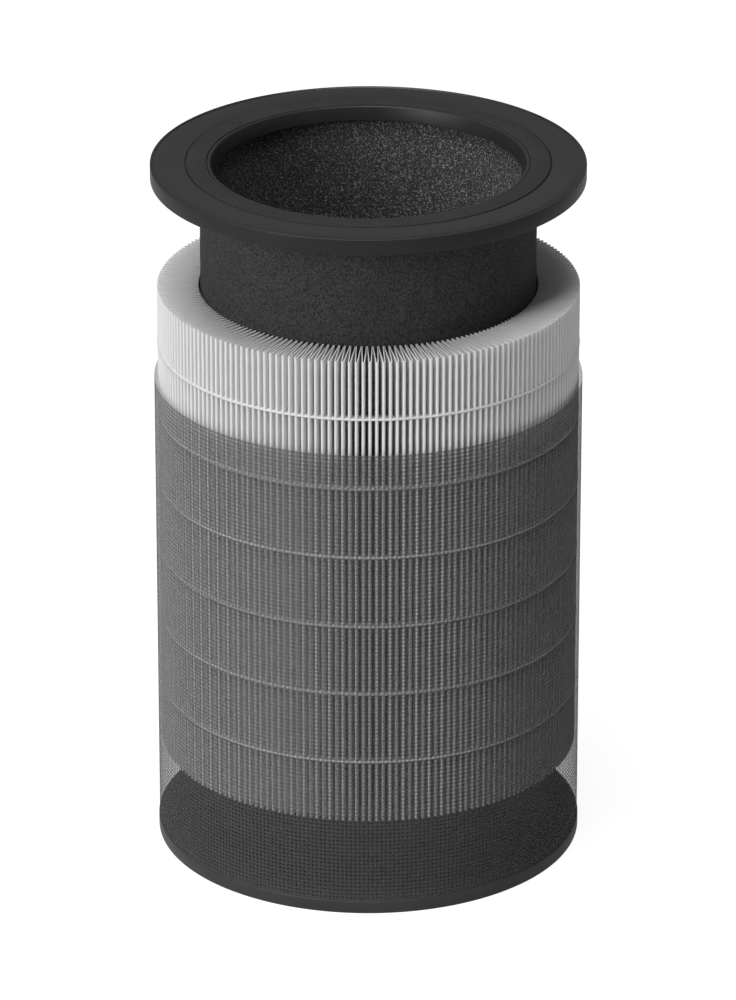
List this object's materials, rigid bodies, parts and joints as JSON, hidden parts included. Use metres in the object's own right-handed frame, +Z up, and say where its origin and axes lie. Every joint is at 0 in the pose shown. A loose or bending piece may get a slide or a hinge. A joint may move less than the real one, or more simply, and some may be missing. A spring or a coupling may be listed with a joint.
{
  "type": "air purifier filter",
  "caption": "Round filter cartridge drawn apart: black end ring with an air outlet, black carbon sleeve, white pleated paper pack with glue beads, see-through net sleeve and closed bottom cap.",
  "frame": {"origin": "middle of the bottom cap's underside, on the surface that it stands on", "axes": "+Z up along the cartridge's axis; the net's seam is at the back, on +Y"},
  "size_m": [0.205, 0.205, 0.3437],
  "materials": {
    "black_plastic": "moulded black plastic, fine matt texture",
    "black_seal": "soft matt black seal",
    "carbon_felt": "black felted activated carbon, porous and fuzzy",
    "white_paper": "matt white folded filter paper",
    "hot_melt_glue": "milky hot-melt glue bead",
    "dark_net": "fine dark grey plastic net, see-through"
  },
  "bodies": {
    "root": {"bottom_cap": "black_plastic", "top_ring": "black_plastic", "seal_gasket": "black_seal", "carbon_sleeve": "carbon_felt", "pleated_media": "white_paper", "prefilter_mesh": "dark_net", "outer_bead_1": "hot_melt_glue", "outer_bead_2": "hot_melt_glue", "outer_bead_3": "hot_melt_glue", "outer_bead_4": "hot_melt_glue", "outer_bead_5": "hot_melt_glue", "outer_bead_6": "hot_melt_glue", "inner_bead_1": "hot_melt_glue", "inner_bead_2": "hot_melt_glue", "inner_bead_3": "hot_melt_glue", "inner_bead_4": "hot_melt_glue", "inner_bead_5": "hot_melt_glue", "inner_bead_6": "hot_melt_glue"}
  },
  "joints": []
}
